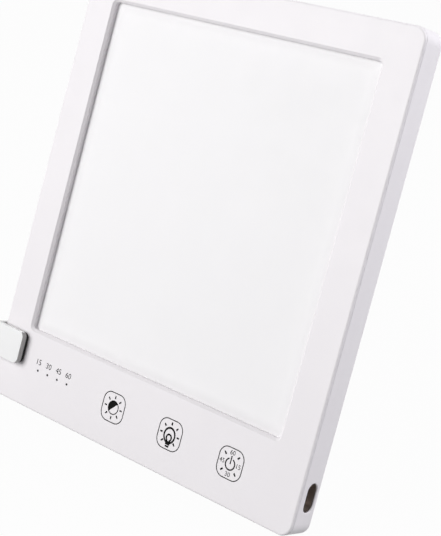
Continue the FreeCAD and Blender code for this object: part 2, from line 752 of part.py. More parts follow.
def make_backlight_tray():
    """Folded sheet: a flat bottom with a flange behind each light strip."""
    body = new_body("backlight_tray")
    fold = new_sketch(body, "XZ_Plane", "0", "0", f"-({WINDOW_Y} - {STACK_TALL} / 2)")
    outer = f"({FLANGE_X} + tray_thick)"
    top = f"({REFLECTOR_BACK} + strip_wide)"
    draw_polygon(
        fold,
        [
            (f"-{outer}", TRAY_BACK),
            (outer, TRAY_BACK),
            (outer, top),
            (FLANGE_X, top),
            (FLANGE_X, REFLECTOR_BACK),
            (f"-{FLANGE_X}", REFLECTOR_BACK),
            (f"-{FLANGE_X}", top),
            (f"-{outer}", top),
        ],
    )
    pad(body, fold, STACK_TALL, backwards=True)
    return on_panel(body, "backlight_tray")


make_backlight_tray()


def make_foam_pads():
    pads = []
    for x in ("-" + FOAM_X, FOAM_X):
        for y in (f"{WINDOW_Y} - {FOAM_Y}", f"{WINDOW_Y} + {FOAM_Y}"):
            name = "foam_pad_" + str(len(pads))
            pads.append(block(name, "foam_long", "foam_wide", "foam_thick", x, y, "case_floor"))
    return on_panel(group("foam_pads_group", *pads), "foam_pads")


make_foam_pads()


# ---------------------------------------------------------------- light strips
def make_light_strip(side, sign):
    strip_x = f"{sign}({STRIP_X} + strip_thick / 2)"
    name = f"led_strip_{side}"
    strip = block(name + "_block", "strip_thick", STRIP_TALL, "strip_wide", strip_x, WINDOW_Y, REFLECTOR_BACK)
    on_panel(group(name + "_group", strip), name)
    chips = []
    chip_x = f"{sign}({CHIP_X} + chip_deep / 2)"
    chip_z = f"{REFLECTOR_BACK} + (strip_wide - chip_long) / 2"
    count = round(value("chip_count"))
    for index in range(count):
        chip_y = f"{WINDOW_Y} + ({index} - (chip_count - 1) / 2) * {CHIP_PITCH}"
        name = f"led_chip_{side}_{index}"
        chips.append(block(name, "chip_deep", "chip_wide", "chip_long", chip_x, chip_y, chip_z))
    return on_panel(group(f"led_chips_{side}_group", *chips), f"led_chips_{side}")


make_light_strip("left", "-")
make_light_strip("right", "")


# ---------------------------------------------------------------- control board and what is on it
def make_control_board():
    body = new_body("control_board")
    outline = new_sketch(body, "XY_Plane", "0", "0", BOARD_BACK)
    tab_x = f"({COLLAR_X} - tab_clear)"
    tab_low = f"({PORT_Y} - board_tab_wide / 2)"
    tab_high = f"({PORT_Y} + board_tab_wide / 2)"
    board_high = "(board_low + board_tall)"
    draw_polygon(
        outline,
        [
            (f"-{BOARD_HALF}", "board_low"),
            (BOARD_HALF, "board_low"),
            (BOARD_HALF, tab_low),
            (tab_x, tab_low),
            (tab_x, tab_high),
            (BOARD_HALF, tab_high),
            (BOARD_HALF, board_high),
            (f"-{BOARD_HALF}", board_high),
        ],
    )
    pad(body, outline, "board_thick")
    holes = new_sketch(body, "XY_Plane", "0", "0", BOARD_FRONT)
    for x, y in POST_SPOTS:
        draw_circle(holes, "post_shank_radius + shank_clear", x, y)
    pocket(body, holes, "2 * board_thick")
    return on_panel(body, "control_board")


make_control_board()


def under_board(name, wide, deep, tall, x, y):
    """A block hung from the back of the board."""
    return block(name, wide, deep, tall, x, y, f"{BOARD_BACK} - ({tall})")


driver = under_board("driver_chip_block", "chip_side", "chip_side", "chip_tall", DRIVER_X, BOARD_Y)
on_panel(group("driver_chip_group", driver), "driver_chip")
coil_block = under_board("power_coil_block", "coil_side", "coil_side", "coil_tall", COIL_X, BOARD_Y)
on_panel(group("power_coil_group", coil_block), "power_coil")
can = peg("power_can_peg", "can_radius", "can_tall", CAN_X, BOARD_Y, f"{BOARD_BACK} - can_tall")
on_panel(group("power_can_group", can), "power_capacitor")


def make_strip_wiring():
    """A flat lead from each light strip down to its plug on the board."""
    leads = []
    plugs = []
    strip_low = f"({WINDOW_Y} - {STRIP_TALL} / 2)"
    plug_y = "(board_low + board_tall - plug_long / 2)"
    lead_low = "(board_low + board_tall - plug_long)"
    lead_long = f"({strip_low} + lead_lap - {lead_low})"
    for side, sign in (("left", "-"), ("right", "")):
        plug_x = f"{sign}({STRIP_X} + plug_wide / 2)"
        plugs.append(under_board(f"strip_plug_{side}", "plug_wide", "plug_long", "plug_tall", plug_x, plug_y))
        lead_x = f"{sign}({STRIP_X} - lead_thick / 2)"
        lead_y = f"{lead_low} + {lead_long} / 2"
        lead_z = f"{REFLECTOR_BACK} + lead_lift"
        name = f"strip_lead_{side}"
        leads.append(block(name, "lead_thick", lead_long, "lead_wide", lead_x, lead_y, lead_z))
    on_panel(group("strip_plugs_group", *plugs), "strip_plugs")
    on_panel(group("strip_leads_group", *leads), "strip_leads")


make_strip_wiring()


def make_touch_spring(name, x):
    """A coil spring between the board and the back of the face, under one touch mark."""
    body = new_body(name)
    wire = new_sketch(body, "XZ_Plane")
    draw_circle(wire, "spring_wire", "spring_radius", "0")
    coil = body.newObject("PartDesign::AdditiveHelix", name + "_coil")
    coil.Profile = wire
    coil.ReferenceAxis = (wire, ["V_Axis"])
    coil.Mode = "height-turns-angle"
    bind(coil, "Height", f"{FACE_BACK} - {BOARD_FRONT} - 2 * (spring_wire + spring_clear)")
    bind(coil, "Turns", "spring_turns")
    doc.recompute()
    placed = group(name + "_group", body)
    body.Placement = FreeCAD.Placement()
    bind(body, "Placement.Base.x", x)
    bind(body, "Placement.Base.y", "touch_y")
    bind(body, "Placement.Base.z", f"{BOARD_FRONT} + spring_wire + spring_clear")
    return on_panel(placed, name)


for mark, spring_x in zip(("brightness", "light", "power"), TOUCH_XS):
    make_touch_spring("touch_spring_" + mark, spring_x)


def make_timer_leds():
    lamps = []
    for index, x in enumerate(DOT_XS):
        lamp_sizes = ("timer_led_wide", "timer_led_deep", "timer_led_tall")
        lamps.append(block(f"timer_led_{index}", *lamp_sizes, x, "dot_y", BOARD_FRONT))
    return on_panel(group("timer_leds_group", *lamps), "timer_leds")


make_timer_leds()


def make_light_pipe():
    """A clear bar behind the face, with a pin through each dot and a stub over each timer lamp."""
    bar_long = "3 * dot_pitch + 4 * dot_radius + 2 * pipe_bar_end"
    bar_sizes = (bar_long, "pipe_bar_tall", "pipe_bar_thick")
    pieces = [block("light_pipe_bar", *bar_sizes, DOT_MID_X, "dot_y", PIPE_BACK)]
    pin_tall = f"{PANEL_THICK} - {PIPE_BACK}"
    stub_z = f"({BOARD_FRONT} + timer_led_tall + pipe_gap)"
    for index, x in enumerate(DOT_XS):
        pieces.append(peg(f"light_pipe_pin_{index}", "dot_radius", pin_tall, x, "dot_y", PIPE_BACK))
        stub_tall = f"{PIPE_BACK} - {stub_z}"
        pieces.append(peg(f"light_pipe_stub_{index}", "2 * dot_radius", stub_tall, x, "dot_y", stub_z))
    return on_panel(fuse("light_pipe_solid", *pieces), "timer_light_pipe")


make_light_pipe()


# ---------------------------------------------------------------- charging port
def make_usb_shell():
    body = new_body("usb_shell")
    outer = new_sketch(body, "YZ_Plane", PORT_Y, "port_z", f"{USB_MOUTH_X} - usb_deep")
    draw_slot(outer, "usb_long", "usb_tall")
    pad(body, outer, "usb_deep")
    inner = new_sketch(body, "YZ_Plane", PORT_Y, "port_z", USB_MOUTH_X)
    draw_slot(inner, "usb_long - 2 * usb_wall", "usb_tall - 2 * usb_wall")
    pocket(body, inner, "usb_deep - usb_wall")
    return on_panel(body, "usb_shell")


make_usb_shell()


def make_usb_tongue():
    body = new_body("usb_tongue")
    start = f"({USB_MOUTH_X} - usb_deep + usb_wall)"
    base = new_sketch(body, "YZ_Plane", PORT_Y, "port_z", start)
    inner = "2 * (usb_wall + tongue_clear)"
    draw_slot(base, f"usb_long - {inner}", f"usb_tall - {inner}")
    pad(body, base, "tongue_base_deep")
    tongue = new_sketch(body, "YZ_Plane", PORT_Y, "port_z", start)
    draw_rounded(tongue, "tongue_wide", "tongue_thick", "tongue_thick / 4")
    pad(body, tongue, "usb_deep - usb_wall - tongue_sunk")
    return on_panel(body, "usb_tongue")


make_usb_tongue()


def make_port_collar():
    """Dark cup that lines the slot in the wall, with the metal shell in its floor."""
    body = new_body("port_collar")
    flange = new_sketch(body, "YZ_Plane", PORT_Y, "port_z", COLLAR_X)
    draw_rounded(flange, COLLAR_LONG, "2 * (port_z - case_floor)", "collar_corner")
    pad(body, flange, f"{WALL_X} - {COLLAR_X}")
    neck = new_sketch(body, "YZ_Plane", PORT_Y, "port_z", COLLAR_X)
    draw_slot(neck, "port_long - 2 * collar_fit", "port_wide - 2 * collar_fit")
    pad(body, neck, f"{COLLAR_OUT_X} - {COLLAR_X}")
    recess = new_sketch(body, "YZ_Plane", PORT_Y, "port_z", COLLAR_OUT_X)
    lining = "2 * (collar_fit + collar_wall)"
    draw_slot(recess, f"port_long - {lining}", f"port_wide - {lining}")
    pocket(body, recess, "recess_deep")
    hole = new_sketch(body, "YZ_Plane", PORT_Y, "port_z", RECESS_X)
    draw_slot(hole, "usb_long + 2 * collar_clear", "usb_tall + 2 * collar_clear")
    pocket(body, hole, "2 * collar_floor")
    return on_panel(body, "port_collar")


make_port_collar()


# ---------------------------------------------------------------- screws of the panel
def make_panel_screws(label, kind, spots, seat_z):
    screws = []
    head = (kind + "_head_radius", kind + "_head_tall")
    shank = (kind + "_shank_radius", kind + "_shank_long")
    for index, (x, y) in enumerate(spots):
        screws.append(cross_screw(f"{kind}_screw_{index}", *head, *shank, x, y, seat_z))
    return on_panel(group(label + "_group", *screws), label)


make_panel_screws("case_screws", "case", CASE_SCREW_SPOTS, HEAD_SEAT)
make_panel_screws("board_screws", "post", POST_SPOTS, BOARD_BACK)


# ---------------------------------------------------------------- grip strip under the panel
def make_grip_strip():
    """Soft strip let into the lower edge; its underside is level where the panel leans."""
    body = new_body("grip_strip")
    section = new_sketch(body, "YZ_Plane", "0", "0", f"grip_clear - {GRIP_LONG} / 2")
    draw_polygon(
        section,
        [
            ("grip_deep", "grip_back"),
            ("-grip_proud", "grip_back"),
            ("-grip_proud - grip_wide * tan(lean)", "grip_back + grip_wide"),
            ("grip_deep", "grip_back + grip_wide"),
        ],
    )
    pad(body, section, f"{GRIP_LONG} - 2 * grip_clear")
    return on_panel(body, "grip_strip")


make_grip_strip()


# ---------------------------------------------------------------- claw
def c_outline(sketch, far_left, front, jaw_end, jaw_inner, web_inner, plate_inner, plate_end, rear):
    """The C round the panel's edge, seen along the edge."""
    draw_polygon(
        sketch,
        [
            (far_left, front),
            (jaw_end, front),
            (jaw_end, jaw_inner),
            (web_inner, jaw_inner),
            (web_inner, plate_inner),
            (plate_end, plate_inner),
            (plate_end, rear),
            (far_left, rear),
        ],
    )


def ear_outline(sketch, radius, root):
    """A round ear about the sketch's origin, on a root at a signed height."""
    r = value(radius)
    base = value(root)
    up = FreeCAD.Vector(0, 0, 1)
    foot_line = sketch.addGeometry(Part.LineSegment(FreeCAD.Vector(-r, base, 0), FreeCAD.Vector(r, base, 0)))
    right = sketch.addGeometry(Part.LineSegment(FreeCAD.Vector(r, base, 0), FreeCAD.Vector(r, 0, 0)))
    half_turn = FreeCAD.Units.Quantity(180, "deg").getValueAs("rad").Value
    start = half_turn if base > 0 else 0.0
    arc = sketch.addGeometry(Part.ArcOfCircle(Part.Circle(FreeCAD.Vector(), up, r), start, start + half_turn))
    left = sketch.addGeometry(Part.LineSegment(FreeCAD.Vector(-r, 0, 0), FreeCAD.Vector(-r, base, 0)))
    right_end, left_end = (2, 1) if base > 0 else (1, 2)
    sketch.addConstraint(Sketcher.Constraint("Coincident", foot_line, 2, right, 1))
    sketch.addConstraint(Sketcher.Constraint("Coincident", left, 2, foot_line, 1))
    sketch.addConstraint(Sketcher.Constraint("Coincident", arc, 3, -1, 1))
    sketch.addConstraint(Sketcher.Constraint("Tangent", right, 2, arc, right_end))
    sketch.addConstraint(Sketcher.Constraint("Tangent", arc, left_end, left, 1))
    sketch.addConstraint(Sketcher.Constraint("Vertical", right))
    sketch.addConstraint(Sketcher.Constraint("Vertical", left))
    sketch.addConstraint(Sketcher.Constraint("Horizontal", foot_line))
    tie(sketch, "Radius", "ear_radius", radius, arc)
    tie(sketch, "DistanceY", "ear_root", root, -1, 1, foot_line, 1)


def make_claw_bracket():
    body = new_body("claw_bracket")
    profile = new_sketch(body, "XZ_Plane", "0", "0", "-claw_low")
    jaw = (JAW_FRONT, JAW_END_X, JAW_BACK)
    c_outline(profile, CLAW_OUT_X, *jaw, CLAW_IN_X, "-back_pad_thick", PLATE_END_X, PLATE_BACK)
    pad(body, profile, "claw_tall", backwards=True)
    left = value(CLAW_OUT_X)
    jaw_end = value(JAW_END_X)
    plate_end = value(PLATE_END_X)
    front = value(JAW_FRONT)
    inner_left = value(CLAW_IN_X)

    def long_way(box):
        return box.YLength > value("claw_tall") / 2

    dress(body, "Fillet", "claw_bend", lambda box: long_way(box) and near(box.XMin, left))
    dress(body, "Fillet", "claw_bend_inner", lambda box: long_way(box) and near(box.XMax, inner_left))
    dress(body, "Fillet", "claw_corner", lambda box: upright_at(box, jaw_end))
    dress(body, "Fillet", "claw_corner", lambda box: upright_at(box, plate_end))
    dress(body, "Fillet", "claw_edge", lambda box: flat_at(box, front))
    for sign in ("-", ""):
        start = f"{STAND_X} - {EAR_OUT}" if sign else f"{STAND_X} + {EAR_IN}"
        ear = new_sketch(body, "YZ_Plane", CLAW_Y, HINGE_Z_LOCAL, start)
        ear_outline(ear, "ear_radius", f"{EAR_REACH} + claw_thick / 4")
        pad(body, ear, "ear_wide")
    bore = new_sketch(body, "YZ_Plane", CLAW_Y, HINGE_Z_LOCAL, f"{STAND_X} + {EAR_OUT} + ear_wide")
    draw_circle(bore, "pin_radius + pin_clear / 2")
    pocket(body, bore, f"2 * ({EAR_OUT} + ear_wide)")
    holes = new_sketch(body, "XY_Plane", "0", "0", "0")
    for x in BRACKET_SCREW_XS:
        draw_circle(holes, "bracket_shank_radius + shank_clear", x, CLAW_Y)
    pocket(body, holes, f"claw_thick - {PLATE_BACK}")
    rear = value(PLATE_BACK)
    hole_wide = value("2 * (bracket_shank_radius + shank_clear)")

    def hole_mouth(box):
        return flat_at(box, rear) and near(box.XLength, hole_wide) and near(box.YLength, hole_wide)

    dress(body, "Chamfer", "bracket_head_tall", hole_mouth)
    return on_panel(body, "claw_bracket")


make_claw_bracket()


def make_claw_liner():
    """Soft black liner between the claw and the panel's edge."""
    body = new_body("claw_liner")
    profile = new_sketch(body, "XZ_Plane", "0", "0", "-claw_low - pad_inset")
    jaw = (JAW_BACK, JAW_END_X, PANEL_THICK)
    c_outline(profile, CLAW_IN_X, *jaw, f"-{HALF_WIDTH}", "0", PLATE_END_X, "-back_pad_thick")
    pad(body, profile, "claw_tall - 2 * pad_inset", backwards=True)
    jaw_end = value(JAW_END_X)
    plate_end = value(PLATE_END_X)
    left = value(CLAW_IN_X)
    half_tall = value("claw_tall / 2")
    dress(body, "Fillet", "claw_corner", lambda box: upright_at(box, jaw_end) or upright_at(box, plate_end))
    dress(body, "Fillet", "claw_bend_inner", lambda box: box.YLength > half_tall and near(box.XMin, left))
    holes = new_sketch(body, "XY_Plane", "0", "0", "0")
    for x in BRACKET_SCREW_XS:
        draw_circle(holes, "bracket_shank_radius + shank_clear", x, CLAW_Y)
    pocket(body, holes, "2 * back_pad_thick")
    return on_panel(body, "claw_liner")


make_claw_liner()


def make_bracket_screws():
    """Countersunk screws, flush with the back of the claw's plate."""
    screws = []
    for index, x in enumerate(BRACKET_SCREW_XS):
        head = doc.addObject("Part::Cone", f"bracket_screw_head_{index}")
        bind(head, "Radius1", "bracket_shank_radius + bracket_head_tall")
        bind(head, "Radius2", "bracket_shank_radius")
        bind(head, "Height", "bracket_head_tall")
        bind(head, "Placement.Base.x", x)
        bind(head, "Placement.Base.y", CLAW_Y)
        bind(head, "Placement.Base.z", PLATE_BACK)
        shank_long = f"bracket_shank_end - {PLATE_BACK}"
        spot = (x, CLAW_Y, PLATE_BACK)
        shank = peg(f"bracket_screw_shank_{index}", "bracket_shank_radius", shank_long, *spot)
        solid = fuse(f"bracket_screw_solid_{index}", head, shank)
        reach = "recess_reach * (bracket_shank_radius + bracket_head_tall)"
        slim = "recess_slim * (bracket_shank_radius + bracket_head_tall)"
        deep = "recess_share * bracket_head_tall"
        bar_a = block(f"bracket_screw_bar_a_{index}", reach, slim, deep, *spot)
        bar_b = block(f"bracket_screw_bar_b_{index}", slim, reach, deep, *spot)
        cross = fuse(f"bracket_screw_cross_{index}", bar_a, bar_b)
        screws.append(cut(f"bracket_screw_{index}", solid, cross))
    return on_panel(group("bracket_screws_group", *screws), "bracket_screws")


make_bracket_screws()


# ---------------------------------------------------------------- hinge hardware
def make_hinge_set(prefix, place, radius, x, y, z):
    """Headed pin, friction washers in the gaps, spring washer and lock nut on one axis."""
    low = f"({x} - {EAR_OUT})"
    high = f"({x} + {EAR_OUT})"
    head_x = f"{low} - pin_head_tall"
    head = rod(prefix + "_pin_head", f"{radius} + pin_head_rim", "pin_head_tall", head_x, y, z)
    shank_long = f"2 * {EAR_OUT} + spring_washer + nut_tall + pin_thread_end"
    shank = rod(prefix + "_pin_shank", radius, shank_long, low, y, z)
    place(fuse(prefix + "_pin_solid", head, shank), prefix + "_pin")
    washers = []
    for index, gap_x in enumerate((f"{x} - barrel_half - washer_gap", f"{x} + barrel_half")):
        start = f"{gap_x} + (washer_gap - washer_thick) / 2"
        disc = rod(f"{prefix}_washer_disc_{index}", f"{radius} + washer_rim", "washer_thick", start, y, z)
        hole = rod(f"{prefix}_washer_hole_{index}", f"{radius} + washer_clear", "washer_thick", start, y, z)
        washers.append(cut(f"{prefix}_washer_{index}", disc, hole))
    place(group(prefix + "_friction_washers_group", *washers), prefix + "_friction_washers")
    disc = rod(prefix + "_spring_disc", f"{radius} + washer_rim", "spring_washer", high, y, z)
    hole = rod(prefix + "_spring_hole", f"{radius} + washer_clear", "spring_washer", high, y, z)
    place(cut(prefix + "_spring_washer_cut", disc, hole), prefix + "_spring_washer")
    prism = doc.addObject("Part::Prism", prefix + "_nut_prism")
    prism.Polygon = 6
    bind(prism, "Circumradius", f"{radius} + nut_rim")
    bind(prism, "Height", "nut_tall")
    turn_to_x(prism, f"{high} + spring_washer", y, z)
    bore = rod(prefix + "_nut_bore", f"{radius} + nut_clear", "nut_tall", f"{high} + spring_washer", y, z)
    place(cut(prefix + "_nut_cut", prism, bore), prefix + "_nut")


make_hinge_set("arm", on_panel, "pin_radius", STAND_X, HINGE_Y_LOCAL, HINGE_Z_LOCAL)


# ---------------------------------------------------------------- swing arm
def make_swing_arm():
    """Flanged plate from the claw's hinge to the foot's, drawn along +y from its upper axis."""
    body = new_body("swing_arm")
    plate = new_sketch(body, "XY_Plane", "0", "0", "-arm_thick / 2")
    draw_rectangle(plate, "-barrel_half", "barrel_half", "0", "arm_length")
    pad(body, plate, "arm_thick")
    for sign in ("-", ""):
        flange = new_sketch(body, "XY_Plane", "0", "0", "-arm_flange_tall / 2")
        inner = f"{sign}(barrel_half - arm_flange_wide)"
        outer = f"{sign}barrel_half"
        first, last = (outer, inner) if sign else (inner, outer)
        draw_rectangle(flange, first, last, "0", "arm_length")
        pad(body, flange, "arm_flange_tall")
    upper = new_sketch(body, "YZ_Plane", "0", "0", "-barrel_half")
    draw_circle(upper, "ear_radius - barrel_clear")
    pad(body, upper, "2 * barrel_half")
    lower = new_sketch(body, "YZ_Plane", "0", "0", "-barrel_half")
    draw_circle(lower, "foot_ear_radius - barrel_clear", "arm_length")
    pad(body, lower, "2 * barrel_half")
    bores = new_sketch(body, "YZ_Plane", "0", "0", "-2 * barrel_half")
    draw_circle(bores, "pin_radius + pin_clear")
    draw_circle(bores, "foot_pin_radius + pin_clear", "arm_length")
    pocket(body, bores, "4 * barrel_half", backwards=True)
    return on_arm(body, "swing_arm")


make_swing_arm()


# ---------------------------------------------------------------- foot
def make_foot_plate():
    """Level plate under the arm's end, with two ears about the foot's hinge axis."""
    body = new_body("foot_plate")
    plate = new_sketch(body, "XY_Plane", "0", "0", f"-{FOOT_RISE} - foot_thick")
    draw_rounded(plate, FOOT_WIDTH, "foot_deep", "foot_corner")
    pad(body, plate, "foot_thick")
    top = value("-" + FOOT_RISE)
    dress(body, "Fillet", "foot_edge", lambda box: flat_at(box, top))
    for sign in ("-", ""):
        start = f"-{EAR_OUT}" if sign else EAR_IN
        ear = new_sketch(body, "YZ_Plane", "0", "0", start)
        ear_outline(ear, "foot_ear_radius", f"-{FOOT_RISE} - foot_thick / 2")
        pad(body, ear, "ear_wide")
    bore = new_sketch(body, "YZ_Plane", "0", "0", f"-{EAR_OUT} - ear_wide")
    draw_circle(bore, "foot_pin_radius + pin_clear / 2")
    pocket(body, bore, f"2 * ({EAR_OUT} + ear_wide)", backwards=True)
    return on_foot(body, "foot_plate")


make_foot_plate()


def make_foot_pads():
    pads = []
    low = f"-{FOOT_RISE} - foot_thick - foot_pad_thick"
    long = f"{FOOT_WIDTH} - 2 * foot_pad_inset"
    for index, y in enumerate(("foot_pad_edge - foot_deep / 2", "foot_deep / 2 - foot_pad_edge")):
        body = new_body(f"foot_pad_{index}")
        outline = new_sketch(body, "XY_Plane", "0", y, low)
        draw_slot(outline, long, "foot_pad_wide")
        pad(body, outline, "foot_pad_thick")
        pads.append(body)
    return on_foot(group("foot_pads_group", *pads), "foot_pads")


make_foot_pads()
make_hinge_set("foot", on_foot, "foot_pin_radius", "0", "0", "0")

# ---------------------------------------------------------------- check and write
doc.recompute()
for item in doc.Objects:
    if "Invalid" in item.State or "Error" in item.State:
        raise RuntimeError(item.Name + " failed: " + str(item.State))
for item in nodes:
    if item.Shape.isNull() or not item.Shape.isValid():
        raise RuntimeError(item.Label + " has no valid shape")
for item in nodes:
    item.Shape.exportStep(os.path.join("parts", item.Label + ".step"))
    print(item.Label, len(item.Shape.Solids), round(item.Shape.Volume, 1))
print(len(nodes), "sub-parts")
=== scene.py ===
# %% [markdown]
# # A light therapy lamp
# The lamp is a flat panel with a bright window, held up by a claw on its left edge, a swing arm and a small foot.
# Its solid parts come ready made from the frame, each at its own place, and none of them is moved here.
# What this lesson adds is the finish of every part, the marks printed on the front, and the soft rubber pieces.

# %% Load the frame
import json
import math

import bpy
from mathutils import Matrix, Vector


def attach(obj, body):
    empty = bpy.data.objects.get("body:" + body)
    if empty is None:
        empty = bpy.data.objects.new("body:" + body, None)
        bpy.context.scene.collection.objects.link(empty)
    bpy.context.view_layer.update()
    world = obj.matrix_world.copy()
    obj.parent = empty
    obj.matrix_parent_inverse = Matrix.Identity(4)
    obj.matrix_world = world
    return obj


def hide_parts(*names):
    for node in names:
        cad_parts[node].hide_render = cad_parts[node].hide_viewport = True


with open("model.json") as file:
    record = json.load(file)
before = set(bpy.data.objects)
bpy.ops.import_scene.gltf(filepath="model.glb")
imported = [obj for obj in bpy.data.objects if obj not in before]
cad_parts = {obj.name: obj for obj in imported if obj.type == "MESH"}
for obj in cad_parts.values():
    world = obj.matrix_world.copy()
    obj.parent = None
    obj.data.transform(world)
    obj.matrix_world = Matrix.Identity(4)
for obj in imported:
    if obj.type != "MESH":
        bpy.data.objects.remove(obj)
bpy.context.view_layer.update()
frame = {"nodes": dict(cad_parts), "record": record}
nodes = frame["nodes"]
bpy.ops.object.select_all(action="DESELECT")
print("parts in the frame:", len(nodes))

# %% [markdown]
# ## The bench
# The panel leans back by 22.6 degrees, which makes it hard to place a small mark on it by hand.
# A maker would lay it on its back on a bench, work on the level face, and then lean it again.
# The same is done here: the panel's parts are measured, and its marks modelled, lying flat, with x to the right,
# y up the face and z out of it, in millimetres from the middle of the panel's lower edge.

# %% A bench for the panel
MM = 0.001
LEAN = math.radians(22.6)
UPRIGHT = math.radians(90) - LEAN
STAND_UP = Matrix.Rotation(UPRIGHT, 3, "X")
LAY_DOWN = STAND_UP.transposed()
laid_cover = [LAY_DOWN @ v.co for v in nodes["back_cover"].data.vertices]
BENCH_HOME = Vector((0, min(p.y for p in laid_cover), min(p.z for p in laid_cover)))
print("bench home in mm:", [round(c / MM, 3) for c in BENCH_HOME])


def to_bench(point):
    """Where a point of the leaning panel lies on the bench, in millimetres."""
    return (LAY_DOWN @ point - BENCH_HOME) / MM


def on_bench(node):
    """Lowest and highest corner of a part as it lies on the bench, in millimetres."""
    points = [to_bench(v.co) for v in nodes[node].data.vertices]
    low = [min(p[i] for p in points) for i in range(3)]
    high = [max(p[i] for p in points) for i in range(3)]
    return Vector(low), Vector(high)


FACE = on_bench("front_bezel")[1].z
print("the face is", round(FACE, 3), "mm above the bench")

# %% [markdown]
# ## The camera
# A product shot looks down on the lamp from its right, close enough that the near corner looks larger.
# The camera is turned from one direction vector, with no roll, so upright edges lean only as perspective makes them.
# The lens is also shifted a little downwards. That moves the lamp within the frame, while a further tilt would change
# how its edges run together.

# %% Place the camera
LOOK = Vector((-0.614, 0.691, -0.382))
bpy.ops.object.camera_add(location=(0.3835, -0.3769, 0.3374))
camera = bpy.context.object
camera.rotation_euler = LOOK.to_track_quat("-Z", "Y").to_euler()
camera.data.lens = 94.5
camera.data.sensor_width = 36
camera.data.shift_y = -0.0896
camera.data.clip_start = 0.01
bpy.context.scene.camera = camera
print("camera turned, in degrees:", [round(math.degrees(angle), 1) for angle in camera.rotation_euler])

# %% [markdown]
# ## Sums between nodes
# A material or a sky is a tree of nodes, and a Math node does one sum in it. Such a node could be set up by hand each
# time, but a small function says in one line what is reckoned from what.
# Its first use is to tell apart the rays that make the picture from those that only carry light.

# %% Sums, and what the eye sees
def reckon(tree, operation, *values):
    """One sum in a tree. Each value is a plain number or the result of another node."""
    node = tree.nodes.new("ShaderNodeMath")
    node.operation = operation
    for socket, value in zip(node.inputs, values):
        if isinstance(value, float):
            socket.default_value = value
        else:
            tree.links.new(value, socket)
    return node.outputs[0]


def seen_straight_or_mirrored(tree):
    """A value of one for rays that come from the eye, a mirror or a window, and zero for the light itself."""
    path = tree.nodes.new("ShaderNodeLightPath")
    either = reckon(tree, "MAXIMUM", path.outputs["Is Camera Ray"], path.outputs["Is Glossy Ray"])
    return reckon(tree, "MAXIMUM", either, path.outputs["Is Transmission Ray"])


def show_over(tree, share, own, shown, output):
    """Lays what is shown to the eye over a look of its own, by a share, and hands both to the output node."""
    mix = tree.nodes.new("ShaderNodeMixShader")
    tree.links.new(share, mix.inputs[0])
    tree.links.new(own, mix.inputs[1])
    tree.links.new(shown, mix.inputs[2])
    tree.links.new(mix.outputs[0], tree.nodes[output].inputs["Surface"])


# %% [markdown]
# ## The table
# The lamp stands on a sheet of white paper that runs on to the horizon. Plain white paint would turn grey wherever the
# light is weak, and more light would wash out the lamp. So the table is white to the eye by itself, and a share of
# its own shading is mixed in, which keeps the shadow that holds the lamp on it.

# %% A white table that keeps its shadow
WHITE = (1, 1, 1, 1)
GLOW_SHARE = 0.97
bpy.ops.mesh.primitive_plane_add(size=12, location=(0, 0, 0))
table = bpy.context.object
table.name = "table_top"
table_white = bpy.data.materials.new("table_white")
table_white.use_nodes = True
tree = table_white.node_tree
paper = tree.nodes["Principled BSDF"]
paper.inputs["Base Color"].default_value = (0.36, 0.36, 0.365, 1)
paper.inputs["Roughness"].default_value = 0.9
glow = tree.nodes.new("ShaderNodeEmission")
glow.inputs["Color"].default_value = WHITE
glow.inputs["Strength"].default_value = 1.0
share = reckon(tree, "MULTIPLY", seen_straight_or_mirrored(tree), GLOW_SHARE)
show_over(tree, share, paper.outputs[0], glow.outputs[0], "Material Output")
table.data.materials.append(table_white)
print("table laid, white by a share of", GLOW_SHARE)

# %% [markdown]
# ## The light
# A white lamp on a white table needs soft light, or its edges vanish.
# One large lamp high on the left lights the face, from so far that the panel's top and bottom get nearly the same.
# A second one stands on the right, a little behind the panel, so it lights the outer side but not the small steps on
# the front, which stay darker and easy to read. It is a touch bluer, as daylight from a window would be, and a weak
# sky fills the rest.

# %% Sky and studio lamps
bpy.context.scene.view_settings.view_transform = "Standard"
sky = bpy.data.worlds.new("studio_sky")
bpy.context.scene.world = sky
sky.use_nodes = True
tree = sky.node_tree
fill = tree.nodes["Background"]
fill.inputs["Color"].default_value = (0.985, 0.985, 1, 1)
fill.inputs["Strength"].default_value = 0.14
backdrop = tree.nodes.new("ShaderNodeBackground")
backdrop.inputs["Color"].default_value = WHITE
backdrop.inputs["Strength"].default_value = 1.0
show_over(tree, seen_straight_or_mirrored(tree), fill.outputs[0], backdrop.outputs[0], "World Output")


def studio_lamp(name, place, target, size, watts, tint=(1, 1, 1)):
    """A square soft light at a place, turned to shine on a target."""
    bpy.ops.object.light_add(type="AREA", location=place)
    lamp = bpy.context.object
    lamp.name = name
    lamp.data.size = size
    lamp.data.energy = watts
    lamp.data.color = tint
    lamp.rotation_euler = (Vector(target) - Vector(place)).to_track_quat("-Z", "Y").to_euler()
    print(name, "shines with", watts, "W")


studio_lamp("key_light", (-0.71, -1.19, 0.905), (-0.02, 0.04, 0.11), size=1.125, watts=23.1)
studio_lamp("side_light", (0.8, 0.55, 0.75), (0.09, 0.05, 0.12), size=0.4, watts=9.5, tint=(0.965, 0.965, 1))

# %% [markdown]
# ## Finishes
# A moulded or painted surface is never one flat colour. Its tone drifts a little across a part, some spots are
# glossier than others, and a fine grain breaks up the light. Each finish below has these three layers.
# They read the piece's own coordinates in metres, so the grain has its true size on every part.

# %% One finish, three layers
MM_PER_METRE = 1000
TONE_PATCH = 30
GLOSS_PATCH = 9
RELIEF_STRENGTH = 0.5


def noise_layer(tree, place, size, detail=3.0):
    """A cloudy pattern whose patches are about so many millimetres wide."""
    layer = tree.nodes.new("ShaderNodeTexNoise")
    layer.inputs["Scale"].default_value = MM_PER_METRE / size
    layer.inputs["Detail"].default_value = detail
    tree.links.new(place, layer.inputs["Vector"])
    return layer.outputs[0]


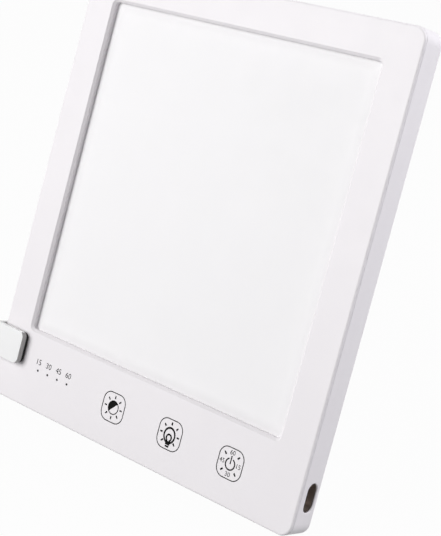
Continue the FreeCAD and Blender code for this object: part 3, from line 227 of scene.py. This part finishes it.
def finish(name, colour, gloss, grain, depth, metal=0.0, drift=0.02, gloss_drift=0.06, stretch=(1, 1, 1), **more):
    """A material. Gloss is its roughness, grain and depth are the fine relief's width and height in millimetres."""
    material = bpy.data.materials.new(name)
    material.use_nodes = True
    tree = material.node_tree
    shader = tree.nodes["Principled BSDF"]
    shader.inputs["Metallic"].default_value = metal
    for socket, value in more.items():
        shader.inputs[socket.replace("_", " ")].default_value = value
    coordinates = tree.nodes.new("ShaderNodeTexCoord")
    stretched = tree.nodes.new("ShaderNodeMapping")
    stretched.inputs["Scale"].default_value = stretch
    tree.links.new(coordinates.outputs["Object"], stretched.inputs["Vector"])
    place = stretched.outputs[0]
    tones = tree.nodes.new("ShaderNodeValToRGB")
    for stop, position, change in zip(tones.color_ramp.elements, (0.3, 0.7), (-drift, drift)):
        stop.position = position
        stop.color = (*[min(c * (1 + change), 1) for c in colour], 1)
    tree.links.new(noise_layer(tree, place, TONE_PATCH), tones.inputs[0])
    tree.links.new(tones.outputs[0], shader.inputs["Base Color"])
    shine = tree.nodes.new("ShaderNodeMapRange")
    shine.inputs["To Min"].default_value = gloss - gloss_drift
    shine.inputs["To Max"].default_value = gloss + gloss_drift
    tree.links.new(noise_layer(tree, place, GLOSS_PATCH), shine.inputs["Value"])
    tree.links.new(shine.outputs[0], shader.inputs["Roughness"])
    relief = tree.nodes.new("ShaderNodeBump")
    relief.inputs["Strength"].default_value = RELIEF_STRENGTH
    relief.inputs["Distance"].default_value = depth * MM
    tree.links.new(noise_layer(tree, place, grain, detail=2.0), relief.inputs["Height"])
    tree.links.new(relief.outputs[0], shader.inputs["Normal"])
    return material


# %% [markdown]
# ## Which finish goes where
# The case is white plastic moulded with a satin skin. The diffuser is an opal sheet that scatters light inside
# itself, so it gets a little subsurface scatter. Films and the light guide let light through.
# Every finish is made by the same function, so a new one takes a single line.

# %% Plastics
finishes = {
    "case_white": finish("case_white", (0.907, 0.878, 0.9), 0.42, 0.35, 0.006, drift=0.008),
    "diffuser_opal": finish("diffuser_opal", (0.957, 0.944, 0.955), 0.5, 0.6, 0.004, drift=0.006,
                            Subsurface_Weight=0.15, Subsurface_Radius=(1, 1, 1), Subsurface_Scale=0.0015),
    "film_clear": finish("film_clear", (0.92, 0.94, 0.95), 0.18, 0.2, 0.01, Transmission_Weight=0.9, IOR=1.58),
    "acrylic_clear": finish("acrylic_clear", (0.93, 0.96, 0.97), 0.05, 4.0, 0.01, gloss_drift=0.03,
                            Transmission_Weight=1.0, IOR=1.49),
    "film_white": finish("film_white", (0.94, 0.94, 0.94), 0.55, 0.5, 0.01, drift=0.01),
    "board_white": finish("board_white", (0.9, 0.91, 0.9), 0.35, 0.8, 0.01),
    "led_cream": finish("led_cream", (0.93, 0.88, 0.6), 0.3, 0.5, 0.01, drift=0.06),
    "board_green": finish("board_green", (0.05, 0.28, 0.13), 0.3, 0.9, 0.02, drift=0.12, Coat_Weight=0.4),
    "chip_black": finish("chip_black", (0.035, 0.033, 0.032), 0.5, 0.15, 0.01, drift=0.1),
    "nylon_white": finish("nylon_white", (0.88, 0.87, 0.83), 0.4, 0.4, 0.01),
    "lead_white": finish("lead_white", (0.85, 0.85, 0.84), 0.45, 0.5, 0.02, drift=0.03),
    "pipe_smoke": finish("pipe_smoke", (0.01, 0.0095, 0.01), 0.45, 0.6, 0.004, drift=0.1, Specular_IOR_Level=0.1),
    "washer_nylon": finish("washer_nylon", (0.8, 0.8, 0.78), 0.5, 0.3, 0.01),
}
print("plastics:", len(finishes))

# %% [markdown]
# ## The diffuser's painted shade beside its frame
# Beside its frame the lip shades the opal sheet, and that shade is painted into the sheet's colour here. A painted
# picture could show it, and so could a second material. Here the distance to the four sides is worked out from the
# sheet's own coordinates, and the colour is taken down over a narrow band, so the painted shade fits any window.

# %% Paint shade on the opal sheet beside its frame
UNDER_THE_LIP = 3
# A Mix node has a set of sockets for each kind of value. These are the ones it uses for colours.
MIX_SHARE, MIX_COLOUR, MIX_WITH, MIXED_COLOUR = 0, 6, 7, 2


def paint_shade_beside_frame(material, part, rim, loss):
    """Paints shade into the colour: takes a share of it away over a band of so many millimetres along a window's four
    sides.
    """
    tree = material.node_tree
    shader = tree.nodes["Principled BSDF"]
    tones = shader.inputs["Base Color"].links[0].from_socket
    low, high = on_bench(part)
    centre = STAND_UP @ (BENCH_HOME + Vector(((low.x + high.x) / 2, (low.y + high.y) / 2, 0)) * MM)
    coordinates = tree.nodes.new("ShaderNodeTexCoord")
    laid = tree.nodes.new("ShaderNodeMapping")
    laid.vector_type = "TEXTURE"
    laid.inputs["Location"].default_value = centre
    laid.inputs["Rotation"].default_value = (UPRIGHT, 0, 0)
    tree.links.new(coordinates.outputs["Object"], laid.inputs["Vector"])
    sides = tree.nodes.new("ShaderNodeSeparateXYZ")
    tree.links.new(laid.outputs[0], sides.inputs[0])
    bands = []
    for axis in (0, 1):
        half = (high[axis] - low[axis]) / 2 - UNDER_THE_LIP
        band = tree.nodes.new("ShaderNodeMapRange")
        band.interpolation_type = "SMOOTHSTEP"
        band.inputs["From Min"].default_value = (half - rim) * MM
        band.inputs["From Max"].default_value = half * MM
        tree.links.new(reckon(tree, "ABSOLUTE", sides.outputs[axis]), band.inputs["Value"])
        bands.append(band.outputs[0])
    # This multiply paints the lip's shade into the opal's colour near the frame.
    shade_mix = tree.nodes.new("ShaderNodeMix")
    shade_mix.data_type = "RGBA"
    shade_mix.blend_type = "MULTIPLY"
    shade_mix.inputs[MIX_WITH].default_value = (1 - loss, 1 - loss, 1 - loss, 1)
    tree.links.new(reckon(tree, "MAXIMUM", *bands), shade_mix.inputs[MIX_SHARE])
    tree.links.new(tones, shade_mix.inputs[MIX_COLOUR])
    tree.links.new(shade_mix.outputs[MIXED_COLOUR], shader.inputs["Base Color"])


# The tenth of the colour taken away beside the frame is painted shade.
paint_shade_beside_frame(finishes["diffuser_opal"], "diffuser_sheet", rim=6.0, loss=0.1)
print("opal sheet dulled beside its frame")

# %% [markdown]
# ## Metals and dull parts
# Rolled and drawn metal has a streaky grain along the way it was worked, so its noise is stretched that way.
# The stand is powder coated, which leaves a glossy skin over a white ground. Rubber and foam are dull and dark.

# %% Metals and dull parts
finishes.update({
    "tray_aluminium": finish("tray_aluminium", (0.77, 0.78, 0.79), 0.38, 0.4, 0.01, metal=1.0, stretch=(0.05, 1, 1)),
    "coil_grey": finish("coil_grey", (0.22, 0.22, 0.23), 0.6, 0.3, 0.03, drift=0.15),
    "can_aluminium": finish("can_aluminium", (0.72, 0.73, 0.75), 0.3, 0.5, 0.01, metal=1.0),
    "spring_steel": finish("spring_steel", (0.7, 0.7, 0.69), 0.25, 0.3, 0.006, metal=1.0, stretch=(1, 1, 0.2)),
    "port_steel": finish("port_steel", (0.6, 0.54, 0.5), 0.32, 0.3, 0.008, metal=1.0, stretch=(0.2, 1, 1)),
    "screw_steel": finish("screw_steel", (0.62, 0.62, 0.63), 0.3, 0.25, 0.01, metal=1.0, drift=0.05),
    "stand_white": finish("stand_white", (0.93, 0.93, 0.93), 0.24, 0.7, 0.01, drift=0.01, Coat_Weight=0.6),
    "pin_steel": finish("pin_steel", (0.66, 0.66, 0.67), 0.28, 0.3, 0.008, metal=1.0, stretch=(1, 0.2, 0.2)),
    "foam_grey": finish("foam_grey", (0.25, 0.25, 0.26), 0.95, 0.6, 0.25, drift=0.15),
    "grip_rubber": finish("grip_rubber", (0.3, 0.3, 0.31), 0.75, 0.4, 0.04, drift=0.06),
    "claw_rubber": finish("claw_rubber", (0.02, 0.019, 0.019), 0.75, 0.4, 0.03, drift=0.1, Specular_IOR_Level=0.25),
})
print("finishes made:", len(finishes))

# %% [markdown]
# ## Dressing the parts
# Each part from the frame names the finish that it wants, so a loop does the work. Its faces are shaded smooth, and
# only edges sharper than 32 degrees stay crisp, which is how a moulded part looks.

# %% Give every part its finish
CRISP_ANGLE = math.radians(32)


def only(piece):
    """Selects one piece and nothing else."""
    bpy.ops.object.select_all(action="DESELECT")
    piece.select_set(True)
    bpy.context.view_layer.objects.active = piece


for part in frame["record"]["subparts"]:
    solid = nodes[part["node"]]
    solid.data.materials.clear()
    solid.data.materials.append(finishes[part["material_slot"]])
    only(solid)
    bpy.ops.object.shade_smooth_by_angle(angle=CRISP_ANGLE)

# %% [markdown]
# ## Tools for copies of ready-made parts
# A part from the frame has sharp machined edges and comes as loose triangles. Where a softer edge shows, a copy is
# made, its triangles are merged back into whole faces, and its edges are rounded with the bevel tool. The copy also
# drops the shading directions that the part came with, since they belong to the triangles and not to the new faces.
# The real parts get this rounding from the mould, from tumbling after stamping, or from the thickness of the paint.

# %% Copy and ease
SAME_POINT = 0.000002
FLAT_WITHIN = math.radians(0.5)
SHARP_EDGE = math.radians(30)


def whole_copy(node, name, flat_faces=True):
    """A free copy of a part, merged, and if wanted with its flat triangles joined back into whole faces."""
    piece = bpy.data.objects.new(name, nodes[node].data.copy())
    bpy.context.scene.collection.objects.link(piece)
    only(piece)
    bpy.ops.mesh.customdata_custom_splitnormals_clear()
    bpy.ops.object.mode_set(mode="EDIT")
    bpy.ops.mesh.select_all(action="SELECT")
    bpy.ops.mesh.remove_doubles(threshold=SAME_POINT)
    if flat_faces:
        bpy.ops.mesh.dissolve_limited(angle_limit=FLAT_WITHIN)
    bpy.ops.object.mode_set(mode="OBJECT")
    return piece


def ease_edges(piece, radius, rings=3):
    """Rounds every sharp edge by a radius in millimetres, in so many steps."""
    only(piece)
    ease = piece.modifiers.new("ease", "BEVEL")
    ease.limit_method = "ANGLE"
    ease.angle_limit = SHARP_EDGE
    ease.width = radius * MM
    ease.segments = rings
    bpy.ops.object.modifier_apply(modifier="ease")
    bpy.ops.object.shade_smooth_by_angle(angle=CRISP_ANGLE)
    print(piece.name, "has", len(piece.data.polygons), "faces")
    return piece


def dress(piece, slot_name, body):
    """Gives a piece its finish and the body it moves with."""
    piece.data.materials.clear()
    piece.data.materials.append(finishes[slot_name])
    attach(piece, body)
    return piece


# %% [markdown]
# ## The claw
# The claw is a strip of plate bent round the panel's left edge. The strip is painted white all round before it is cut
# to length, so only the two cut ends stay bare and grey. Here they are picked by the way they face.
# The bend is made in one piece in the frame, so a copy only needs its edges eased.

# %% Ease the claw and bare its cut ends
JAW_BEGINS = -80
FACING_RIGHT = 0.35
claw = dress(ease_edges(whole_copy("claw_bracket", "claw_painted"), 0.25), "stand_white", "panel")
claw.data.materials.append(finish("claw_cut_edge", (0.42, 0.415, 0.41), 0.45, 0.3, 0.02, metal=0.2, drift=0.05))
bare = [face for face in claw.data.polygons
        if to_bench(face.center).x > JAW_BEGINS and face.normal.x > FACING_RIGHT]
for face in bare:
    face.material_index = 1
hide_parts("claw_bracket")
print("bare faces at the claw's ends:", len(bare))

# %% [markdown]
# ## The cup round the charging port
# The slot in the side is lined by a drawn steel cup, so that a plug slides in without scraping the case.
# Its walls keep their warm steel colour, while its rim and floor are painted near black for the shade deep in the
# slot.
# Both kinds of face are told apart by whether they look along the cup or across it. Its triangles stay as they are,
# because the polished curve of its walls mirrors best on the fine triangles that it came with.

# %% Paint the slot's shade on the cup's rim and floor
ALONG_THE_CUP = 0.7
cup = dress(whole_copy("port_collar", "port_cup", flat_faces=False), "port_steel", "panel")
# The near-black finish below is painted shade on the rim and floor of the slot.
cup.data.materials.append(finish("port_painted_shade", (0.008, 0.0075, 0.0075), 0.6, 0.2, 0.006, drift=0.2,
                                 Specular_IOR_Level=0.2))
painted_shade = [face for face in cup.data.polygons if abs(face.normal.x) > ALONG_THE_CUP]
for face in painted_shade:
    face.material_index = 1
bpy.ops.object.shade_smooth_by_angle(angle=CRISP_ANGLE)
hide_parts("port_collar")
print("blackened faces in the cup:", len(painted_shade))

# %% [markdown]
# ## The stand's arm and foot
# The arm is a flanged sheet of steel and the foot a plate with ears, both powder coated white. The powder builds up
# a soft rounded skin over every edge, so their copies get a small radius all round.

# %% Ease the arm and the foot
arm = dress(ease_edges(whole_copy("swing_arm", "arm_powder_coated"), 0.3), "stand_white", "arm")
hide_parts("swing_arm")
foot = dress(ease_edges(whole_copy("foot_plate", "foot_powder_coated"), 0.3), "stand_white", "foot")
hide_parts("foot_plate")

# %% [markdown]
# ## The soft parts
# The claw's black lining, the strip under the panel, the pads under the foot and the foam behind the tray are all
# soft. They are pressed from rubber or cut from foam, so their edges are rounder than those of the hard parts.
# Each keeps the room that its solid has in the frame.

# %% Rubber lining, grip strip and pads
claw_lining = dress(ease_edges(whole_copy("claw_liner", "claw_lining_soft"), 0.35, 4), "claw_rubber", "panel")
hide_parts("claw_liner")
strip = dress(ease_edges(whole_copy("grip_strip", "grip_strip_soft"), 0.6, 5), "grip_rubber", "panel")
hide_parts("grip_strip")
foot_rubbers = dress(ease_edges(whole_copy("foot_pads", "foot_pads_soft"), 0.35, 4), "grip_rubber", "foot")
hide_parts("foot_pads")
foam = dress(ease_edges(whole_copy("foam_pads", "foam_pads_soft"), 0.6, 4), "foam_grey", "panel")
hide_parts("foam_pads")

# %% [markdown]
# ## Marks printed on the front
# The touch marks and the timer numbers are pad printed in black ink, a film far thinner than a hair.
# A picture of the marks could be laid on the face instead, but it would blur when seen from close by.
# So each mark is drawn flat on the bench from plain shapes: a square with rounded corners, rings, rays and a disc.
# All the shapes of one mark are then joined and raised by three hundredths of a millimetre.

# %% Ink, and from the bench to the face
INK_THICKNESS = 0.03
SAME_CORNER = 0.0005
ink = finish("print_black", (0.006, 0.006, 0.006), 0.75, 0.12, 0.002, drift=0.3, Specular_IOR_Level=0.06)
ink_thin = finish("print_grey", (0.008, 0.008, 0.008), 0.75, 0.12, 0.002, drift=0.2, Specular_IOR_Level=0.06)
print("inks mixed:", ink.name, "and", ink_thin.name)


def lean_into_place(piece):
    """Turns a piece made on the bench, in millimetres, to where it belongs on the leaning panel."""
    only(piece)
    piece.scale = (MM, MM, MM)
    piece.rotation_euler = (UPRIGHT, 0, 0)
    piece.location = STAND_UP @ BENCH_HOME
    bpy.ops.object.transform_apply(location=True, rotation=True, scale=True)


def print_mark(name, shapes, colour):
    """Joins flat shapes, raises them to the ink's thickness and prints them on the leaning panel."""
    bpy.ops.object.select_all(action="DESELECT")
    for shape in shapes:
        shape.select_set(True)
    bpy.context.view_layer.objects.active = shapes[0]
    bpy.ops.object.join()
    mark = bpy.context.object
    mark.name = name
    mark.data.name = name
    bpy.ops.object.mode_set(mode="EDIT")
    bpy.ops.mesh.select_all(action="SELECT")
    bpy.ops.mesh.remove_doubles(threshold=SAME_CORNER)
    bpy.ops.mesh.normals_make_consistent(inside=False)
    bpy.ops.mesh.extrude_region_move(TRANSFORM_OT_translate={"value": (0, 0, INK_THICKNESS)})
    bpy.ops.mesh.select_all(action="SELECT")
    bpy.ops.mesh.normals_make_consistent(inside=False)
    bpy.ops.object.mode_set(mode="OBJECT")
    mark.data.materials.clear()
    mark.data.materials.append(colour)
    lean_into_place(mark)
    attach(mark, "panel")
    print(name, "printed with", len(mark.data.polygons), "faces")


def middle(node):
    """The middle of a part on the bench, as seen from above."""
    low, high = on_bench(node)
    return (low.x + high.x) / 2, (low.y + high.y) / 2


# %% [markdown]
# ## Squares and rings
# Each touch mark is a button with no edge to feel, so a thin rounded square shows where a finger should rest.
# A ready-made rounded square doesn't exist in Blender. A plane with bevelled corners does the same, and an inset
# leaves only its outline. A ring starts as a circle of edges, which is extruded and drawn in by its line's width.

# %% A rounded square and a ring
ROUND_STEPS = 72
MARK_SIDE = 13.5
MARK_CORNER = 4.3
MARK_LINE = 0.42


def edit_only(shape, wanted):
    """Opens a shape for editing with only the wanted corners selected."""
    bpy.ops.object.mode_set(mode="EDIT")
    bpy.ops.mesh.select_mode(type="VERT")
    bpy.ops.mesh.select_all(action="DESELECT")
    bpy.ops.object.mode_set(mode="OBJECT")
    for vertex in shape.data.vertices:
        vertex.select = wanted(vertex.co)
    bpy.ops.object.mode_set(mode="EDIT")


def settle(shape, x, y, turn=0.0, tall=1.0):
    """Moves a flat shape, drawn round zero, to its place on the face; it may grow taller on the way."""
    only(shape)
    shape.location = (x, y, FACE)
    shape.scale.y = tall
    shape.rotation_euler.z = math.radians(turn)
    bpy.ops.object.transform_apply(location=True, rotation=True, scale=True)
    return shape


def touch_square(x, y):
    """The outline of a square with round corners, round the middle of a touch mark."""
    bpy.ops.mesh.primitive_plane_add(size=MARK_SIDE, location=(0, 0, 0))
    shape = bpy.context.object
    bpy.ops.object.mode_set(mode="EDIT")
    bpy.ops.mesh.bevel(offset=MARK_CORNER, segments=9, affect="VERTICES")
    bpy.ops.mesh.select_all(action="SELECT")
    bpy.ops.mesh.inset(thickness=MARK_LINE)
    bpy.ops.mesh.delete(type="FACE")
    bpy.ops.object.mode_set(mode="OBJECT")
    return settle(shape, x, y)


def ring(radius, line, gap=0.0, gap_at=90.0):
    """A flat ring, with a gap of so many degrees to each side of a direction."""
    bpy.ops.mesh.primitive_circle_add(vertices=ROUND_STEPS, radius=radius, fill_type="NOTHING", location=(0, 0, 0))
    shape = bpy.context.object
    toward = Vector((math.cos(math.radians(gap_at)), math.sin(math.radians(gap_at)), 0))
    edit_only(shape, lambda corner: corner.angle(toward) < math.radians(gap))
    if gap:
        bpy.ops.mesh.delete(type="VERT")
    bpy.ops.mesh.select_all(action="SELECT")
    bpy.ops.mesh.extrude_region_move()
    smaller = (radius - line) / radius
    bpy.ops.transform.resize(value=(smaller, smaller, 1), center_override=(0, 0, 0))
    bpy.ops.object.mode_set(mode="OBJECT")
    return shape


# %% [markdown]
# ## Bars and rays
# A ray is a short bar that narrows outwards. One is modelled and the others are copies of it, turned and moved out
# from the middle. An array modifier could do that too, but a plain list of angles can leave some out.

# %% A bar, and rays made from it
RAY_TAPER = 0.7


def bar(width, height, top_width=None):
    """A flat upright bar, which may narrow towards its top."""
    bpy.ops.mesh.primitive_plane_add(size=1, location=(0, 0, 0))
    shape = bpy.context.object
    shape.scale = (width, height, 1)
    bpy.ops.object.transform_apply(location=True, rotation=True, scale=True)
    edit_only(shape, lambda corner: corner.y > 0)
    narrow = (top_width or width) / width
    bpy.ops.transform.resize(value=(narrow, 1, 1), center_override=(0, height / 2, 0))
    bpy.ops.object.mode_set(mode="OBJECT")
    return shape


def rays(x, y, distance, width, length, angles):
    """Short wedges round a middle, modelled once and copied."""
    made = [bar(width, length, width * RAY_TAPER)]
    while len(made) < len(angles):
        made.append(bpy.data.objects.new("ray", made[0].data.copy()))
        bpy.context.scene.collection.objects.link(made[-1])
    for shape, angle in zip(made, angles):
        out = math.radians(angle)
        settle(shape, x + distance * math.cos(out), y + distance * math.sin(out), angle - 90)
    return made


# %% [markdown]
# ## The brightness mark
# A finger on this mark steps through the brightness, so it shows a sun that is half dark.
# The dark half is a disc, cut along its diagonal. A ring round it closes the bright half.

# %% The brightness mark: a sun, half of it dark
x, y = middle("touch_spring_brightness")
bpy.ops.mesh.primitive_circle_add(vertices=ROUND_STEPS, radius=3.15, fill_type="NGON", location=(0, 0, 0))
dark_half = bpy.context.object
bpy.ops.object.mode_set(mode="EDIT")
bpy.ops.mesh.select_all(action="SELECT")
bpy.ops.mesh.bisect(plane_co=(0, 0, 0), plane_no=(1, -1, 0), clear_outer=True)
bpy.ops.object.mode_set(mode="OBJECT")
sun = [touch_square(x, y), settle(ring(radius=3.2, line=0.44), x, y), settle(dark_half, x, y)]
sun += rays(x, y, distance=4.7, width=0.76, length=1.45, angles=range(0, 360, 45))
print_mark("mark_brightness", sun, ink)

# %% [markdown]
# ## The light mark
# This mark changes the light's colour and shows a bulb. An open ring is its glass and a smaller one its wire, two
# short bars are the neck and two wider ones the cap. The glass is a little taller than wide, as a bulb is.

# %% The light mark: a bulb
x, y = middle("touch_spring_light")
bulb = [touch_square(x, y), settle(ring(radius=3.4, line=0.82, gap=22, gap_at=270), x, y - 0.4, tall=1.1)]
bulb.append(settle(ring(radius=1.75, line=0.76, gap=24, gap_at=270), x, y - 1.45, tall=1.05))
bulb += [settle(bar(0.76, 1.2), x - 0.8, y - 3.0, turn=-8), settle(bar(0.76, 1.2), x + 0.8, y - 3.0, turn=8)]
bulb.append(settle(bar(2.3, 1.8, top_width=3.1), x, y - 3.75))
bulb.append(settle(bar(2.1, 0.75), x, y - 5.25))
bulb += rays(x, y, distance=4.85, width=0.86, length=1.4, angles=range(-45, 270, 45))
print_mark("mark_light", bulb, ink)

# %% [markdown]
# ## The power mark
# A broken ring with a bar in its gap is the common sign for power. Four rays stand at its corners.

# %% The power mark: a ring and a bar
x, y = middle("touch_spring_power")
power = [touch_square(x, y), settle(ring(radius=2.72, line=0.62, gap=22), x, y - 0.25)]
power.append(settle(bar(0.58, 3.6), x, y + 1.6))
power += rays(x, y, distance=5.1, width=0.85, length=1.5, angles=range(45, 360, 90))
print_mark("mark_power", power, ink)

# %% [markdown]
# ## The minutes round the power mark
# A longer touch on the power mark sets the timer, so the minutes stand round it as on a clock. They are set in
# Blender's own letters, which are made into a mesh before they are placed, and they are thinner than the ring, as
# the print is.

# %% The minutes, on four sides of the power mark
def number(text, x, y, height):
    """A printed number of a given height, its middle at a place."""
    bpy.ops.object.text_add(location=(0, 0, 0))
    shape = bpy.context.object
    shape.data.body = text
    shape.data.resolution_u = 3
    bpy.ops.object.convert(target="MESH")
    shape = bpy.context.object
    low = [min(v.co[i] for v in shape.data.vertices) for i in range(2)]
    high = [max(v.co[i] for v in shape.data.vertices) for i in range(2)]
    size = height / (high[1] - low[1])
    shape.scale = (size, size, 1)
    bpy.ops.object.transform_apply(location=True, rotation=True, scale=True)
    return settle(shape, x - size * (low[0] + high[0]) / 2, y - size * (low[1] + high[1]) / 2)


MINUTES_TALL = 2.0
minutes = [number("60", x, y + 4.75, MINUTES_TALL), number("15", x + 4.5, y + 0.1, MINUTES_TALL)]
minutes += [number("30", x, y - 4.6, MINUTES_TALL), number("45", x - 4.5, y + 0.1, MINUTES_TALL)]
print_mark("mark_power_minutes", minutes, ink_thin)

# %% [markdown]
# ## The timer's numbers
# The four dots are real: they are the pins of a smoked light pipe, and one of them glows for the time that is set.
# The numbers above them are printed, so they are spaced from the pipe's own length.

# %% The timer's numbers above their four dots
END_TO_PIN = 1.9
NUMBERS_UP = 22.6
NUMBERS_LEFT = 0.3
NUMBERS_TALL = 2.6
low, high = on_bench("timer_light_pipe")
first_pin = low.x + END_TO_PIN
step = (high.x - low.x - 2 * END_TO_PIN) / 3
timer = [number(text, first_pin + step * i - NUMBERS_LEFT, NUMBERS_UP, NUMBERS_TALL)
         for i, text in enumerate(("15", "30", "45", "60"))]
print_mark("timer_numbers", timer, ink_thin)
